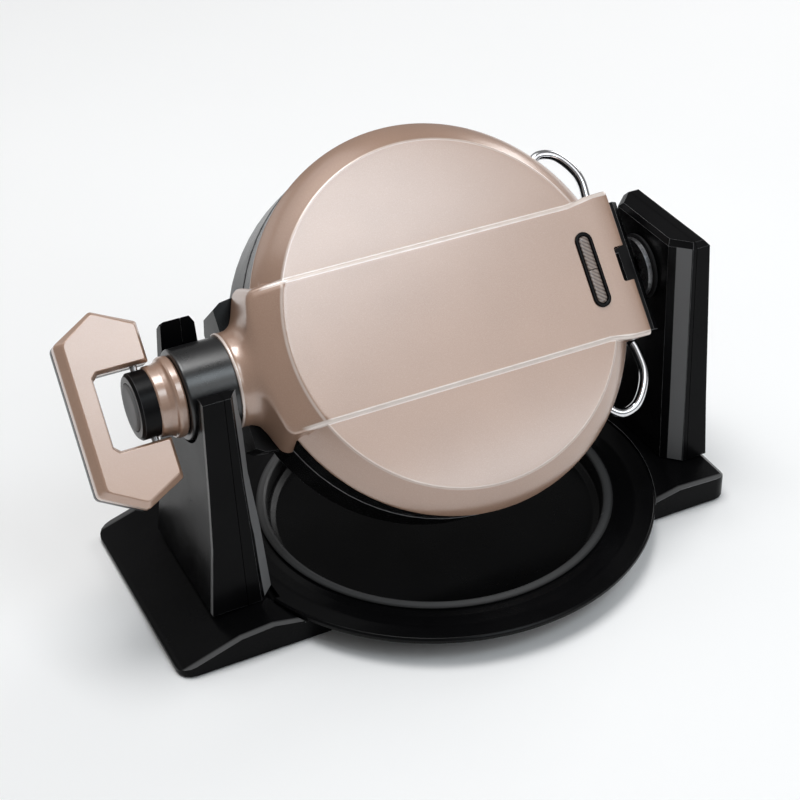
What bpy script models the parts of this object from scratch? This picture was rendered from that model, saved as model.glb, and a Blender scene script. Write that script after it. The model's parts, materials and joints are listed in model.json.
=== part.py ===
"""Rotating flip waffle maker: a round hinged cooker that turns over between two towers on a tray base.

Run with: blender --background --python part.py
Lengths below are in millimetres and are turned into metres as the meshes are made. +X runs along the flip
axis from the handle to the hinge, -Y is the front, +Z is up. The cooker's own parts are modelled closed and
level about the flip axis, then tilted by the empty that carries them.
"""

import math

import bmesh
import bpy
from mathutils import Matrix, Vector

MM = 0.001
GAP = 0.3                 # running gap between neighbouring parts

# Placing
CENTRE_X = 21.5           # flip axis centre, from the middle of the whole machine's length
AXIS_Z = 135.5            # height of the flip axis
TILT = 49.1               # cooker's tilt at rest, front edge down

# Cooker
COOKER_R = 110.0          # copper rim of the lid
LID_TOP_R = 96.6          # where the flat top meets the shoulder
LID_TOP_Z = 36.0
LID_RIM_Z = 19.0
LID_WALL = 2.4
PARTING = 0.6             # half of the parting gap between the lid and the lower half
BAND_HALF = 39.0          # raised band along the top, crease to crease
BAND_TOP_Z = 37.2
EAR_HALF = 41.4
EAR_X = (84.0, 111.0)
LOWER_R = 109.4
LOWER_Z = -33.4
PLATE_R = 97.0
CAVITY_R = 88.0

# Neck and handle
NECK_R = 25.0
NECK_X = (-152.0, -110.0)
FLANGE_X = (-158.2, -152.3)
BARREL_R = 18.3
BARREL_X = (-176.6, -158.5)
HANDLE_X = (-208.0, -162.0)
HANDLE_HALF = 54.0
HANDLE_THICK = 19.0
HANDLE_PIVOT_X = -169.5
BUTTON_R = 13.0

# Lid hinge
HINGE_X = 102.0
HINGE_Z = 25.0
KNUCKLE_R = 6.0
PIN_R = 2.2
EDGE_X = 131.0            # right-hand face of the hinge block
AXLE_R = 12.0

# Stand
PAN_R = 130.6
TRAY_R = 101.8
LEFT_TOP_Z = 168.0
RIGHT_TOP_Z = 165.0
FRONT_ARM_Z = 148.0
CRADLE_R = 26.8
TOWER_WALL = 2.6
TOWER_FOOT_Z = 18.2

ROUND = 72                # sides of the large round parts
HIDDEN_ROUND = 48         # sides of round parts inside the casing


def clear_scene():
    for obj in list(bpy.data.objects):
        bpy.data.objects.remove(obj, do_unlink=True)


def make_material(name, colour, roughness, metallic=0.0, alpha=1.0):
    mat = bpy.data.materials.new(name)
    mat.use_nodes = True
    shader = mat.node_tree.nodes["Principled BSDF"]
    shader.inputs["Base Color"].default_value = (*colour, 1.0)
    shader.inputs["Roughness"].default_value = roughness
    shader.inputs["Metallic"].default_value = metallic
    shader.inputs["Alpha"].default_value = alpha
    return mat


def make_materials():
    return {
        "copper_paint": make_material("copper_paint", (0.56, 0.41, 0.34), 0.34, 0.75),
        "black_plastic": make_material("black_plastic", (0.012, 0.012, 0.013), 0.32),
        "satin_black": make_material("satin_black", (0.020, 0.020, 0.021), 0.5),
        "nonstick": make_material("nonstick", (0.025, 0.024, 0.024), 0.42, 0.4),
        "chrome_wire": make_material("chrome_wire", (0.78, 0.78, 0.80), 0.1, 1.0),
        "steel": make_material("steel", (0.55, 0.55, 0.56), 0.3, 1.0),
        "aluminium_sheet": make_material("aluminium_sheet", (0.7, 0.7, 0.71), 0.35, 1.0),
        "grey_plastic": make_material("grey_plastic", (0.10, 0.10, 0.105), 0.4),
        "rubber": make_material("rubber", (0.02, 0.02, 0.02), 0.85),
        "lamp_lens": make_material("lamp_lens", (0.20, 0.12, 0.08), 0.25),
        "brass": make_material("brass", (0.72, 0.53, 0.25), 0.3, 1.0),
    }


def make_empty(name, parent, location, rotation_x=0.0):
    empty = bpy.data.objects.new(name, None)
    bpy.context.collection.objects.link(empty)
    empty.parent = parent
    empty.location = Vector(location) * MM
    empty.rotation_euler = (math.radians(rotation_x), 0.0, 0.0)
    return empty


def finish_mesh(name, bm, material=None, parent=None, pivot=(0, 0, 0), smooth_angle=None):
    """Turn a bmesh in millimetres into an object whose origin is the parent's origin, at pivot."""
    bmesh.ops.recalc_face_normals(bm, faces=bm.faces[:])
    bmesh.ops.transform(bm, matrix=Matrix.Scale(MM, 4), verts=bm.verts[:])
    mesh = bpy.data.meshes.new(name)
    bm.to_mesh(mesh)
    bm.free()
    obj = bpy.data.objects.new(name, mesh)
    bpy.context.collection.objects.link(obj)
    obj.parent = parent
    obj.location = -Vector(pivot) * MM
    if material:
        mesh.materials.append(material)
    if smooth_angle:
        mesh.shade_smooth()
        mesh.set_sharp_from_angle(angle=math.radians(smooth_angle))
    return obj


def boolean(obj, tool, operation="DIFFERENCE"):
    """Cut, join or keep the overlap with a tool object, which is left out of the model."""
    tool.parent = obj.parent
    tool.location = obj.location
    tool.hide_render = True
    tool.display_type = "WIRE"
    modifier = obj.modifiers.new(operation.lower(), "BOOLEAN")
    modifier.operation = operation
    modifier.object = tool
    modifier.solver = "EXACT"


def cut(obj, *bmeshes):
    for bm in bmeshes:
        boolean(obj, finish_mesh(obj.name + "_cutter", bm))


def join(obj, *bmeshes):
    for bm in bmeshes:
        boolean(obj, finish_mesh(obj.name + "_addition", bm), "UNION")


def box(x, y, z):
    """A box from three (low, high) pairs."""
    bm = bmesh.new()
    size = Vector((x[1] - x[0], y[1] - y[0], z[1] - z[0]))
    centre = Vector((x[0] + x[1], y[0] + y[1], z[0] + z[1])) / 2
    matrix = Matrix.Translation(centre) @ Matrix.Diagonal((*size, 1.0))
    bmesh.ops.create_cube(bm, size=1.0, matrix=matrix)
    return bm


def lathe(profile, sides=ROUND, axis="Z", centre=(0, 0, 0)):
    """Turn a closed (radius, height) outline about an axis through centre."""
    bm = bmesh.new()
    verts = [bm.verts.new((radius, 0.0, height)) for radius, height in profile]
    edges = [bm.edges.new((verts[i], verts[i - 1])) for i in range(len(verts))]
    bmesh.ops.spin(bm, geom=verts + edges, cent=(0, 0, 0), axis=(0, 0, 1), angle=math.tau,
                   steps=sides, use_merge=True, use_duplicate=False)
    bmesh.ops.remove_doubles(bm, verts=bm.verts[:], dist=0.001)
    on_axis = [e for e in bm.edges if all(math.hypot(v.co.x, v.co.y) < 0.001 for v in e.verts)]
    bmesh.ops.delete(bm, geom=on_axis, context="EDGES")
    turn = {"Z": Matrix.Identity(4), "X": Matrix.Rotation(math.pi / 2, 4, "Y"),
            "Y": Matrix.Rotation(-math.pi / 2, 4, "X")}[axis]
    bmesh.ops.transform(bm, matrix=Matrix.Translation(centre) @ turn, verts=bm.verts[:])
    return bm


def cylinder(radius, span, sides=24, axis="Z", centre=(0, 0, 0)):
    low, high = span
    return lathe([(0, low), (radius, low), (radius, high), (0, high)], sides, axis, centre)


def prism(outline, span, plane="XY"):
    """Extrude a closed outline across the given plane, from the low to the high end of span."""
    low, high = span
    place = {"XY": lambda a, b, c: (a, b, c), "XZ": lambda a, b, c: (a, c, b),
             "YZ": lambda a, b, c: (c, a, b)}[plane]
    return loft([[place(a, b, c) for a, b in outline] for c in (low, high)])


def loft(rings):
    """Join rings of equally many points into one closed solid with flat ends."""
    bm = bmesh.new()
    loops = [[bm.verts.new(point) for point in ring] for ring in rings]
    for low, high in zip(loops, loops[1:]):
        for i in range(len(low)):
            bm.faces.new((low[i - 1], low[i], high[i], high[i - 1]))
    bm.faces.new(loops[0])
    bm.faces.new(loops[-1])
    return bm


def slot_outline(half_length, half_width, arc=6):
    """A round-ended slot about the origin, long along Y, as (x, y) points."""
    straight = half_length - half_width
    points = []
    for end in (1, -1):
        for i in range(arc + 1):
            angle = math.pi * i / arc + (0 if end > 0 else math.pi)
            points.append((half_width * math.cos(angle), end * straight + half_width * math.sin(angle)))
    return points


def shifted(outline, x, y=0.0):
    return [(px + x, py + y) for px, py in outline]


def tube(name, points, radius, material, parent):
    """A round wire along a smooth path through the points."""
    curve = bpy.data.curves.new(name, "CURVE")
    curve.dimensions = "3D"
    curve.bevel_depth = radius * MM
    curve.bevel_resolution = 2
    curve.use_fill_caps = True
    spline = curve.splines.new("POLY")
    smooth = catmull_rom(points, 4)
    spline.points.add(len(smooth) - 1)
    for target, point in zip(spline.points, smooth):
        target.co = (*(Vector(point) * MM), 1.0)
    obj = bpy.data.objects.new(name, curve)
    bpy.context.collection.objects.link(obj)
    obj.parent = parent
    curve.materials.append(material)
    return obj


def catmull_rom(points, steps):
    """Points along a smooth curve through the given points."""
    path = [Vector(p) for p in points]
    padded = [2 * path[0] - path[1], *path, 2 * path[-1] - path[-2]]
    result = []
    for p0, p1, p2, p3 in zip(padded, padded[1:], padded[2:], padded[3:]):
        for i in range(steps):
            t = i / steps
            result.append(0.5 * (2 * p1 + (p2 - p0) * t + (2 * p0 - 5 * p1 + 4 * p2 - p3) * t * t
                                 + (3 * p1 - p0 - 3 * p2 + p3) * t ** 3))
    return result + [path[-1]]


# Lid ------------------------------------------------------------------------------------------------

def arch(half_base, half_top, height, squareness, base_z=PARTING, steps=5):
    """An arch in the YZ plane: a half round that turns into a trapezium as squareness goes to 1."""
    points = []
    for i in range(3 * steps + 1):
        angle = math.pi * i / (3 * steps)
        side, along = divmod(i, steps)
        t = along / steps
        corners = [(half_base, base_z), (half_top, height), (-half_top, height), (-half_base, base_z)]
        a, b = corners[min(side, 3)], corners[min(side + 1, 3)]
        flat = (a[0] + (b[0] - a[0]) * t, a[1] + (b[1] - a[1]) * t)
        curved = (half_base * math.cos(angle), base_z + (height - base_z) * math.sin(angle))
        points.append(tuple(c + (f - c) * squareness for c, f in zip(curved, flat)))
    return points


def lid_band():
    """The raised band, which narrows into the neck's throat at one end and ends square at the other."""
    stations = [
        (-124.0, 27.6, 22.0, 28.0, 0.0),
        (-116.0, 28.6, 24.0, 29.0, 0.1),
        (-111.5, 33.5, 29.0, 31.0, 0.5),
        (-106.0, 45.0, 36.0, 33.5, 0.9),
        (-98.0, 46.5, 38.6, 35.6, 1.0),
        (-86.0, 46.5, BAND_HALF, BAND_TOP_Z, 1.0),
        (EAR_X[0] - 1.5, 46.5, BAND_HALF, BAND_TOP_Z, 1.0),
        (100.0, 43.0, BAND_HALF, BAND_TOP_Z - 0.9, 1.0),
    ]
    rings = [[(x, y, z) for y, z in arch(base, top, height, square)]
             for x, base, top, height, square in stations]
    return loft(rings)


def lid_dome():
    """The lid's round outer form, down to its rim."""
    return lathe([
        (0, LID_RIM_Z), (COOKER_R, LID_RIM_Z), (COOKER_R, LID_RIM_Z + 1.2), (COOKER_R - 1.4, LID_RIM_Z + 3.6),
        (LID_TOP_R + 2.2, LID_TOP_Z - 1.8), (LID_TOP_R, LID_TOP_Z - 0.3), (LID_TOP_R - 4, LID_TOP_Z),
        (0, LID_TOP_Z + 0.4)])


def lid_hollow():
    """The space inside the dome, wider below its rim to clear the lid ring."""
    inner = COOKER_R - LID_WALL
    return lathe([
        (0, -3), (COOKER_R + 0.4, -3), (COOKER_R + 0.4, LID_RIM_Z - 0.5), (inner, LID_RIM_Z - 0.5),
        (inner - 1.4, LID_RIM_Z + 3), (LID_TOP_R - 1.2, LID_TOP_Z - LID_WALL - 1.4),
        (LID_TOP_R - 5, LID_TOP_Z - LID_WALL), (0, LID_TOP_Z - LID_WALL)])


def build_lid(parts, lid):
    pivot = (HINGE_X, 0, HINGE_Z)
    shell = finish_mesh("lid_shell", lid_dome(), parts["copper_paint"], lid, pivot, 25)
    ear_low = 17.0
    join(shell, box(EAR_X, (-EAR_HALF, EAR_HALF), (ear_low, LID_TOP_Z - 0.3)), lid_band())
    cut(shell,
        box((103.8, EAR_X[1] + 5), (-10.2, 10.2), (ear_low - 2.3, BAND_TOP_Z + 3)),
        cylinder(NECK_R + 0.6, (-130, -104), 40, "X"),
        prism(shifted(slot_outline(20.5, 4.2), 87, 1), (LID_TOP_Z - 6, BAND_TOP_Z + 4)),
        box((EAR_X[0] + 2, EAR_X[1] - LID_WALL), (-EAR_HALF + LID_WALL, EAR_HALF - LID_WALL),
            (ear_low - 1, LID_TOP_Z - LID_WALL)),
        lid_hollow())

    ring = finish_mesh("lid_ring", lathe([
        (99.0, PARTING), (LOWER_R - 0.4, PARTING), (LOWER_R, LID_RIM_Z - 0.8),
        (105.4, LID_RIM_Z - 0.8), (105.0, 3.0), (99.0, 3.0)]), parts["black_plastic"], lid, pivot, 40)
    cut(ring, box((93, 115), (-10, 10), (-2, 22)))
    build_grid_plate("upper_grid_plate", 1, parts, lid, pivot)
    build_element("upper_heating_element", 19.0, parts, lid, pivot)
    build_reflector("upper_reflector", 1, parts, lid, pivot)

    for side, end in (("front", -1), ("rear", 1)):
        lug = finish_mesh("lid_hinge_lug_" + side,
                          box((HINGE_X - 5.9, HINGE_X + 5.9), (min(10.5 * end, 17 * end), max(10.5 * end, 17 * end)),
                              (HINGE_Z, LID_TOP_Z - LID_WALL - GAP)),
                          parts["steel"], lid, pivot)
        span = sorted((10.5 * end, 17 * end))
        join(lug, cylinder(KNUCKLE_R, span, 24, "Y", (HINGE_X, 0, HINGE_Z)))
        cut(lug, cylinder(PIN_R + GAP, (span[0] - 2, span[1] + 2), 16, "Y", (HINGE_X, 0, HINGE_Z)))

    bezel = finish_mesh("indicator_bezel", prism(shifted(slot_outline(22.0, 5.4), 87, 1),
                                                 (BAND_TOP_Z + 0.35, BAND_TOP_Z + 1.6)),
                        parts["black_plastic"], lid, pivot, 50)
    cut(bezel, prism(shifted(slot_outline(19.4, 3.2), 87, 1), (BAND_TOP_Z - 3, BAND_TOP_Z + 5)))
    for name, y in (("power_lamp", -8.6), ("ready_lamp", 10.6)):
        finish_mesh(name, prism(shifted(slot_outline(9.0, 2.8), 87, y), (LID_TOP_Z - 2, BAND_TOP_Z + 1.0)),
                    parts["lamp_lens"], lid, pivot, 50)


# Cooking plates and heaters, the same above and below the parting plane --------------------------------

def build_grid_plate(name, side, parts, parent, pivot):
    """A cast plate with a round recess full of square studs, facing the parting plane."""
    rim, floor, back = side * 1.2, side * 10.0, side * 14.0
    plate = finish_mesh(name, lathe([
        (0, floor), (CAVITY_R - 3, floor), (CAVITY_R, rim), (PLATE_R, rim), (PLATE_R, side * 5.0),
        (CAVITY_R + 3, side * 6.0), (CAVITY_R + 1, back), (0, back)], HIDDEN_ROUND),
        parts["nonstick"], parent, pivot, 30)
    studs = bmesh.new()
    pitch = 18.0
    for column in range(-4, 5):
        for row in range(-4, 5):
            if math.hypot(column, row) * pitch > CAVITY_R - 12:
                continue
            top = Matrix.Translation((column * pitch, row * pitch, side * 7.6))
            bmesh.ops.create_cube(studs, size=1.0, matrix=top @ Matrix.Diagonal((8.0, 8.0, 6.0, 1.0)))
    join(plate, studs)
    return plate


def build_element(name, height, parts, parent, pivot):
    """A looped heating rod behind its plate."""
    bm = lathe([(66 + 3.4 * math.cos(a), height + 3.4 * math.sin(a))
                for a in (math.tau * i / 8 for i in range(8))], 40)
    return finish_mesh(name, bm, parts["steel"], parent, pivot, 60)


def build_reflector(name, side, parts, parent, pivot):
    """A shallow pressed dish that throws the heat back to the plate."""
    z = [side * h for h in (24.0, 23.0, 15.5, 16.3, 23.8, 24.8)]
    bm = lathe([(0, z[0]), (84, z[1]), (91.5, z[2]), (92.3, z[3]), (84.6, z[4]), (0, z[5])], HIDDEN_ROUND)
    return finish_mesh(name, bm, parts["aluminium_sheet"], parent, pivot, 30)


# Lower half: everything that turns on the flip axis ----------------------------------------------------

def build_lower_half(parts, flip):
    pivot = (0, 0, 0)
    wall = 2.4
    finish_mesh("lower_housing", lathe([
        (LOWER_R, -PARTING), (LOWER_R, LOWER_Z + 2), (LOWER_R - 2, LOWER_Z), (0, LOWER_Z),
        (0, LOWER_Z + wall), (LOWER_R - wall - 1.0, LOWER_Z + wall), (LOWER_R - wall, LOWER_Z + 3.6),
        (LOWER_R - wall, -5.0), (99.0, -5.0), (99.0, -PARTING - 0.6), (105.0, -PARTING)]),
        parts["black_plastic"], flip, pivot, 35)
    build_grid_plate("lower_grid_plate", -1, parts, flip, pivot)
    build_element("lower_heating_element", -19.0, parts, flip, pivot)
    build_reflector("lower_reflector", -1, parts, flip, pivot)
    thermostat = finish_mesh("thermostat", cylinder(11, (-23.0, -14.3), 24, "Z", (30, 0, 0)),
                             parts["brass"], flip, pivot, 40)
    cut(thermostat, box((15, 45), (-2, 2), (-30, -21.5)))
    cut(bpy.data.objects["lower_reflector"], cylinder(11.6, (-30, -12), 24, "Z", (30, 0, 0)))

    throat = finish_mesh("lower_throat", loft([
        [(x, y, -PARTING), (x, y * 0.98, -24), (x, y * 0.8, -32), (x, -y * 0.8, -32), (x, -y * 0.98, -24),
         (x, -y, -PARTING)] for x, y in ((-118.6, 39.0), (-114.0, 42.0), (-92.0, 45.0))]),
        parts["black_plastic"], flip, pivot)
    cut(throat, cylinder(LOWER_R + GAP, (-40, 5), ROUND), cylinder(NECK_R + GAP, (-130, -80), 40, "X"))

    for index, angle in enumerate((30, 150, 270), 1):
        x, y = 92 * math.cos(math.radians(angle)), 92 * math.sin(math.radians(angle))
        screw = finish_mesh(f"bottom_screw_{index}",
                            lathe([(0, LOWER_Z - 0.3), (3.4, LOWER_Z - 0.3), (3.2, LOWER_Z - 1.6),
                                   (2.0, LOWER_Z - 2.1), (0, LOWER_Z - 2.1)], 16, "Z", (x, y, 0)),
                            parts["steel"], flip, pivot, 40)
        cut(screw, box((x - 2.6, x + 2.6), (y - 0.5, y + 0.5), (LOWER_Z - 3, LOWER_Z - 1.4)))


def build_hinge(parts, flip):
    pivot = (0, 0, 0)
    half = 39.0
    block = finish_mesh("hinge_block", prism([(96, -29), (EDGE_X - 4, -29), (EDGE_X, -24), (EDGE_X, 7),
                                              (EDGE_X - 5, 12), (96, 12)], (-half, half), "XZ"),
                        parts["black_plastic"], flip, pivot)
    cut(block, cylinder(LOWER_R + 2.2, (-40, 15), ROUND))
    hinge_at = (HINGE_X, 0, HINGE_Z)
    join(block, prism([(96.2, 6), (118, 6), (118, 15), (108, 17.5), (107.5, HINGE_Z), (96.5, HINGE_Z)],
                      (-9, 9), "XZ"),
         cylinder(KNUCKLE_R, (-9, 9), 24, "Y", hinge_at))
    cut(block, cylinder(PIN_R + GAP, (-12, 12), 16, "Y", hinge_at),
        cylinder(AXLE_R - 3, (EDGE_X - 15, EDGE_X + 5), 24, "X"))
    finish_mesh("hinge_pin", cylinder(PIN_R, (-17.6, 17.6), 16, "Y", hinge_at),
                parts["steel"], flip, pivot, 40)
    finish_mesh("flip_axle", lathe([(8.5, EDGE_X + GAP), (AXLE_R + 6, EDGE_X + GAP), (AXLE_R + 6, EDGE_X + 3),
                                    (AXLE_R, EDGE_X + 3), (AXLE_R, 156), (8.5, 156)], 32, "X"),
                parts["steel"], flip, pivot, 40)
    route = [(119.5, 0), (121, 6), (121.5, 18), (117.5, 28), (109.5, 36.5), (99.5, 38.5), (92, 33), (90.8, 26.5)]
    for side, end in (("front", -1), ("rear", 1)):
        points = [(x, end * (40.6 + y), -8.0) for x, y in route]
        tube("wire_loop_" + side, points, 2.6, parts["chrome_wire"], flip)


def build_neck(parts, flip):
    pivot = (0, 0, 0)
    left, right = NECK_X
    finish_mesh("neck_drum", lathe([
        (9, left), (NECK_R - 1, left), (NECK_R, left + 1), (NECK_R, right - 1), (NECK_R - 1, right), (9, right)],
        48, "X"), parts["satin_black"], flip, pivot, 40)
    left, right = FLANGE_X
    finish_mesh("neck_flange", lathe([
        (0, left), (NECK_R - 0.8, left), (NECK_R + 0.8, left + 1.6), (NECK_R + 0.8, right - 1),
        (NECK_R - 0.2, right), (0, right)], 48, "X"), parts["copper_paint"], flip, pivot, 40)
    left, right = BARREL_X
    barrel = finish_mesh("handle_barrel", lathe([
        (0, left), (BARREL_R - 1.5, left), (BARREL_R, left + 1.5), (BARREL_R, right), (0, right)],
        40, "X"), parts["satin_black"], flip, pivot, 40)
    cut(barrel, cylinder(BUTTON_R + GAP, (left - 2, left + 4.4), 32, "X"),
        cylinder(2.0 + GAP, (-30, 30), 16, "Y", (HANDLE_PIVOT_X, 0, 0)))
    finish_mesh("handle_pivot_pin", cylinder(2.0, (-29, 29), 16, "Y", (HANDLE_PIVOT_X, 0, 0)),
                parts["steel"], flip, pivot, 40)


def build_button(parts, button):
    left = BARREL_X[0]
    finish_mesh("fold_button", lathe([
        (0, left - 1.2), (BUTTON_R - 2.5, left - 1.2), (BUTTON_R, left - 0.2), (BUTTON_R, left + 1.1),
        (0, left + 1.1)], 32, "X"), parts["grey_plastic"], button, (left, 0, 0), 40)


# Folding handle -------------------------------------------------------------------------------------------

def handle_outline(inset=0.0):
    """The handle's six-sided outline, open at the neck end, as (x, y) points."""
    left, right = HANDLE_X[0] + inset, HANDLE_X[1]
    half, shoulder, neck = HANDLE_HALF - inset, 41.0 - inset * 0.4, 43.0 - inset * 0.6
    window_left, window = HANDLE_X[0] + 13.5 - inset, 20.6 - inset
    middle = -184.5
    return [(left, -shoulder), (left, shoulder), (middle, half), (right, neck), (right, window),
            (window_left + 3, window), (window_left, window - 3), (window_left, 3 - window),
            (window_left + 3, -window), (right, -window), (right, -neck), (middle, -half)]


def build_handle(parts, handle):
    pivot = (HANDLE_PIVOT_X, 0, 0)
    half = HANDLE_THICK / 2
    split = -1.5
    layers = (("handle_top_shell", parts["copper_paint"], (split + 0.15, half), 4.2),
              ("handle_bottom_shell", parts["black_plastic"], (-half, split - 0.15), 2.4))
    for name, material, (low, high), chamfer in layers:
        inner, outer = (low, high) if high > 0 else (high, low)
        shell = finish_mesh(name, handle_layer(inner, outer, chamfer), material, handle, pivot)
        cut(shell, cylinder(2.0 + GAP, (-29.6, 29.6), 16, "Y", pivot))


def handle_layer(inner_z, outer_z, chamfer):
    """One half of the handle, chamfered all round on its outer face."""
    step = math.copysign(chamfer, outer_z - inner_z)
    rings = [(inner_z, 0.0), (outer_z - step, 0.0), (outer_z, chamfer)]
    loops = []
    for z, inset in rings:
        ring = []
        for x, y in handle_outline():
            ring.append(inset_point(x, y, inset) + (z,))
        loops.append(ring)
    return loft(loops)


def inset_point(x, y, inset):
    """Move an outline point in from the handle's outer sides, and the window's corners outwards."""
    window_left = HANDLE_X[0] + 13.5
    in_window = abs(y) < 21 and x > window_left - 1
    if in_window:
        on_end = x > HANDLE_X[1] - 1
        grow = inset * 0.35
        return (x - (inset if on_end else grow), y + math.copysign(grow, y))
    if x > HANDLE_X[1] - 1:
        return (x - inset, y - math.copysign(inset * 0.8, y))
    if x < HANDLE_X[0] + 1:
        return (x + inset, y - math.copysign(inset * 0.4, y))
    return (x, y - math.copysign(inset, y))


# Stand ------------------------------------------------------------------------------------------------------

def tower_rings(stations, grow=0.0, slant=True):
    """Level rings of a tower: (z, outer x, front face x, inner x, half depth)."""
    rings = []
    for z, outer, face, inner, half in stations:
        toward = 1 if inner > outer else -1
        outer, inner, half = outer - toward * grow, inner + toward * grow, half + grow
        cut_back = 10.0 if slant else 0.0
        rings.append([(outer, -half, z), (face, -half, z), (inner, -half + cut_back, z),
                      (inner, half - cut_back, z), (face, half, z), (outer, half, z)])
    return rings


def hollow_stations(stations, top):
    """The stations below top, started a little low, with one more worked out at top."""
    kept = [s for s in stations if s[0] < top]
    above = stations[len(kept)]
    mix = (top - kept[-1][0]) / (above[0] - kept[-1][0])
    last = tuple(b + (a - b) * mix for a, b in zip(above, kept[-1]))
    return [(kept[0][0] - 3, *kept[0][1:]), *kept[1:], last]


def build_tower(side, stations, split_x, hollow_top, parts, stand):
    """A hollow tower in two shells, split lengthwise; returns the outer and the inner shell."""
    shells = []
    sign = 1 if stations[0][3] > stations[0][1] else -1
    for half_name, keep in (("outer", -sign), ("inner", sign)):
        name = f"{side}_tower_{half_name}"
        shell = finish_mesh(name, loft(tower_rings(stations)), parts["black_plastic"], stand)
        cut(shell, loft(tower_rings(hollow_stations(stations, hollow_top), -TOWER_WALL)))
        edge = split_x + keep * 0.15
        far = split_x + keep * 80
        boolean(shell, finish_mesh(name + "_half", box(sorted((edge, far)), (-80, 80), (-5, 200))), "INTERSECT")
        shells.append(shell)
    return shells


def build_left_tower(parts, stand):
    stations = [(TOWER_FOOT_Z, -157.8, -129.0, -119.5, 44.0), (60, -153.0, -130.5, -122.0, 40.5),
                (95, -151.0, -132.0, -125.4, 37.5), (LEFT_TOP_Z, -148.2, -134.0, -126.6, 32.6)]
    for shell in build_tower("left", stations, -137.0, 100.0, parts, stand):
        cut(shell, cylinder(CRADLE_R, (-170, -110), 40, "X", (0, 0, AXIS_Z)),
            box((-170, -110), (-CRADLE_R, CRADLE_R), (AXIS_Z, 200)),
            box((-170, -110), (-60, 0), (FRONT_ARM_Z, 200)),
            prism([(24, LEFT_TOP_Z + 5), (24, LEFT_TOP_Z), (31, LEFT_TOP_Z - 8), (45, LEFT_TOP_Z - 24),
                   (45, LEFT_TOP_Z + 5)], (-170, -110), "YZ"),
            prism([(-160, LEFT_TOP_Z - 18), (-150, LEFT_TOP_Z - 8), (-145, LEFT_TOP_Z - 1), (-145, LEFT_TOP_Z + 9),
                   (-160, LEFT_TOP_Z + 9)], (0, 60), "XZ"),
            prism([(-115, LEFT_TOP_Z - 18), (-127, LEFT_TOP_Z - 8), (-132, LEFT_TOP_Z - 1), (-132, LEFT_TOP_Z + 9),
                   (-115, LEFT_TOP_Z + 9)], (0, 60), "XZ"))
    liner_r = NECK_R + 0.4
    arc = [(r * math.cos(a), AXIS_Z + r * math.sin(a))
           for r, angles in ((CRADLE_R - GAP, range(180, 361, 12)), (liner_r, range(360, 179, -12)))
           for a in map(math.radians, angles)]
    finish_mesh("cradle_liner", prism(arc, (-147.0, -127.0), "YZ"), parts["grey_plastic"], stand)


def build_right_tower(parts, stand):
    stations = [(TOWER_FOOT_Z, 163.6, 147.0, 137.0, 43.0), (60, 162.0, 147.0, 137.0, 41.0),
                (RIGHT_TOP_Z - 3, 158.6, 147.4, 137.2, 37.2), (RIGHT_TOP_Z, 156.0, 149.0, 139.4, 34.6)]
    outer, inner = build_tower("right", stations, 150.0, 160.0, parts, stand)
    cut(inner, cylinder(AXLE_R + 4.3, (130, 149), 32, "X", (0, 0, AXIS_Z)))
    gland_at = (153.4, 0, 40)
    for shell in (outer, inner):
        cut(shell, cylinder(6.4, (20, 60), 24, "Y", gland_at))
    finish_mesh("axle_bush", lathe([(AXLE_R + 0.35, 135.2), (AXLE_R + 7.5, 135.2), (AXLE_R + 7.5, 136.6),
                                    (AXLE_R + 4, 136.6), (AXLE_R + 4, 147.5), (AXLE_R + 0.35, 147.5)],
                                   32, "X", (0, 0, AXIS_Z)), parts["grey_plastic"], stand, smooth_angle=40)
    finish_mesh("terminal_block", box((151.0, 158.4), (-14, 14), (66, 82)), parts["grey_plastic"], stand)
    finish_mesh("cord_gland", lathe([(3.4, 33), (6.1, 33), (6.1, 43.5), (7.6, 43.5), (7.0, 47), (4.8, 58),
                                     (3.4, 58)], 24, "Y", gland_at),
                parts["rubber"], stand, smooth_angle=40)


def rounded_plan(x, y, radius, steps=4):
    """A rectangle seen from above, its four corners rounded, from (low, high) pairs."""
    points = []
    for corner, (cx, cy) in enumerate(((x[1], y[1]), (x[0], y[1]), (x[0], y[0]), (x[1], y[0]))):
        cx += -radius if corner in (0, 3) else radius
        cy += -radius if corner in (0, 1) else radius
        for i in range(steps + 1):
            angle = math.pi / 2 * (corner + i / steps)
            points.append((cx + radius * math.cos(angle), cy + radius * math.sin(angle)))
    return points


def build_feet(parts, stand):
    """The two wide feet, each with its tower standing on it, and their rubber pads."""
    front, back, under_rim, low = -66.4, 77.4, 13.1, 1.2
    rises = {"left_foot": [(-185.6, low), (-185.6, 3.6), (-183.6, 5.2), (-150, 16.0), (-131, 17.6),
                           (-106, 12.8), (-98, 3.6), (-98, low)],
             "right_foot": [(165.0, low), (165.0, 13.6), (161.5, 16.4), (131, 17.6),
                            (108, 12.8), (100, 3.6), (100, low)]}
    for name, outline in rises.items():
        foot = finish_mesh(name, prism(outline, (front - 5, back + 5), "XZ"), parts["black_plastic"], stand)
        span = (outline[0][0], 60) if outline[0][0] < 0 else (-60, outline[0][0])
        plan = prism(rounded_plan(span, (front, back), 9.0), (-5, 40))
        boolean(foot, finish_mesh(name + "_plan", plan), "INTERSECT")
        cut(foot, cylinder(PAN_R + 0.8, (under_rim, 30), ROUND), cylinder(105.2, (-2, 30), ROUND))
    pads = {"left_front": (-174, -54), "left_rear": (-170, 62), "right_front": (154, -54),
            "right_rear": (150, 62)}
    for name, (x, y) in pads.items():
        pad = lathe([(0, 0), (6.0, 0), (7.0, 1.0), (7.0, 2.9), (0, 2.9)], 20, "Z", (x, y, 0))
        finish_mesh("rubber_foot_" + name, pad, parts["rubber"], stand, smooth_angle=40)
        foot = bpy.data.objects["left_foot" if x < 0 else "right_foot"]
        cut(foot, cylinder(7.3, (-2, 3.2), 20, "Z", (x, y, 0)))


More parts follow.
